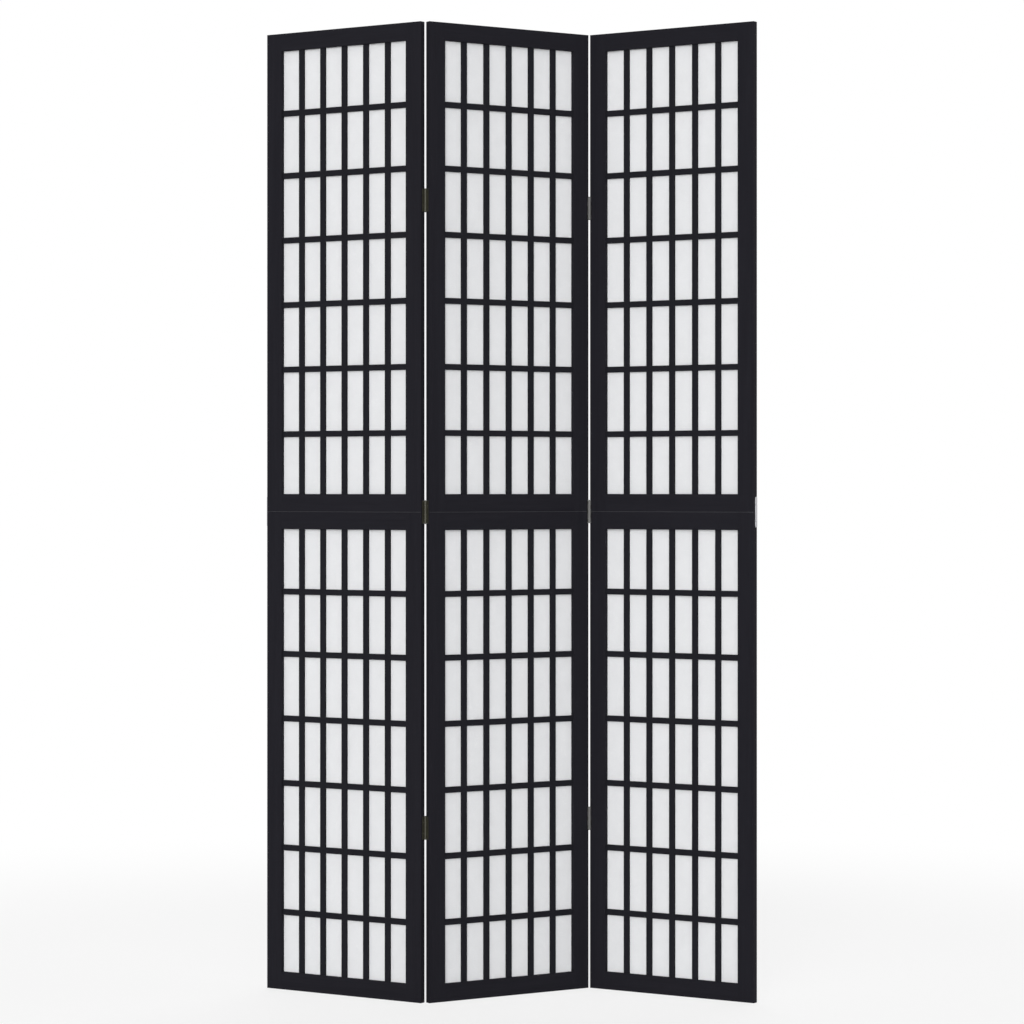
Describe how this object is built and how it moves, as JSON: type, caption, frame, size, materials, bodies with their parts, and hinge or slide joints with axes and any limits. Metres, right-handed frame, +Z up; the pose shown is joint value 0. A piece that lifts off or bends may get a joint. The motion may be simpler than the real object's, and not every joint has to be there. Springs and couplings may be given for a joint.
{
  "type": "shoji folding screen",
  "caption": "Free-standing folding room divider: hinged wooden panels, each two stacked frames with a thin-bar lattice backed by translucent paper.",
  "frame": {"origin": "on the floor, under the centre of the middle panel, which is the centre of the bounding box's bottom with the screen at its rest pose", "axes": "+Z up, +X to the right along the line of the screen as its front is seen, +Y to the back, away from the lattice side"},
  "size_m": [0.9136, 0.201, 1.8],
  "materials": {
    "black_lacquered_wood": "black satin lacquer over fine-grained softwood",
    "black_lattice_wood": "black satin lacquer on thin bars",
    "shoji_paper": "translucent white fibre paper",
    "hinge_steel": "dull bronzed steel",
    "pin_steel": "plain drawn steel",
    "plate_steel": "zinc plated steel"
  },
  "bodies": {
    "middle_panel": {"middle_panel_lower_left_stile": "black_lacquered_wood", "middle_panel_lower_right_stile": "black_lacquered_wood", "middle_panel_lower_top_rail": "black_lacquered_wood", "middle_panel_lower_bottom_rail": "black_lacquered_wood", "middle_panel_lower_lattice": "black_lattice_wood", "middle_panel_lower_paper": "shoji_paper", "middle_panel_upper_left_stile": "black_lacquered_wood", "middle_panel_upper_right_stile": "black_lacquered_wood", "middle_panel_upper_top_rail": "black_lacquered_wood", "middle_panel_upper_bottom_rail": "black_lacquered_wood", "middle_panel_upper_lattice": "black_lattice_wood", "middle_panel_upper_paper": "shoji_paper", "left_fold_bottom_hinge_right_leaf": "hinge_steel", "left_fold_bottom_hinge_pin": "pin_steel", "left_fold_middle_hinge_right_leaf": "hinge_steel", "left_fold_middle_hinge_pin": "pin_steel", "left_fold_top_hinge_right_leaf": "hinge_steel", "left_fold_top_hinge_pin": "pin_steel", "right_fold_bottom_hinge_left_leaf": "hinge_steel", "right_fold_bottom_hinge_pin": "pin_steel", "right_fold_middle_hinge_left_leaf": "hinge_steel", "right_fold_middle_hinge_pin": "pin_steel", "right_fold_top_hinge_left_leaf": "hinge_steel", "right_fold_top_hinge_pin": "pin_steel"},
    "left_panel": {"left_panel_lower_left_stile": "black_lacquered_wood", "left_panel_lower_right_stile": "black_lacquered_wood", "left_panel_lower_top_rail": "black_lacquered_wood", "left_panel_lower_bottom_rail": "black_lacquered_wood", "left_panel_lower_lattice": "black_lattice_wood", "left_panel_lower_paper": "shoji_paper", "left_panel_upper_left_stile": "black_lacquered_wood", "left_panel_upper_right_stile": "black_lacquered_wood", "left_panel_upper_top_rail": "black_lacquered_wood", "left_panel_upper_bottom_rail": "black_lacquered_wood", "left_panel_upper_lattice": "black_lattice_wood", "left_panel_upper_paper": "shoji_paper", "left_end_joining_plate": "plate_steel", "left_fold_bottom_hinge_left_leaf": "hinge_steel", "left_fold_middle_hinge_left_leaf": "hinge_steel", "left_fold_top_hinge_left_leaf": "hinge_steel"},
    "right_panel": {"right_panel_lower_left_stile": "black_lacquered_wood", "right_panel_lower_right_stile": "black_lacquered_wood", "right_panel_lower_top_rail": "black_lacquered_wood", "right_panel_lower_bottom_rail": "black_lacquered_wood", "right_panel_lower_lattice": "black_lattice_wood", "right_panel_lower_paper": "shoji_paper", "right_panel_upper_left_stile": "black_lacquered_wood", "right_panel_upper_right_stile": "black_lacquered_wood", "right_panel_upper_top_rail": "black_lacquered_wood", "right_panel_upper_bottom_rail": "black_lacquered_wood", "right_panel_upper_lattice": "black_lattice_wood", "right_panel_upper_paper": "shoji_paper", "right_end_joining_plate": "plate_steel", "right_fold_bottom_hinge_right_leaf": "hinge_steel", "right_fold_middle_hinge_right_leaf": "hinge_steel", "right_fold_top_hinge_right_leaf": "hinge_steel"}
  },
  "joints": [
    {"name": "left_fold", "type": "hinge", "parent": "middle_panel", "child": "left_panel", "pos_m": [-0.15253, -0.08861, 0.9], "axis": [0, 0, 1], "range_deg": [-115, 65]},
    {"name": "right_fold", "type": "hinge", "parent": "middle_panel", "child": "right_panel", "pos_m": [0.15253, 0.08861, 0.9], "axis": [0, 0, 1], "range_deg": [-115, 65]}
  ]
}
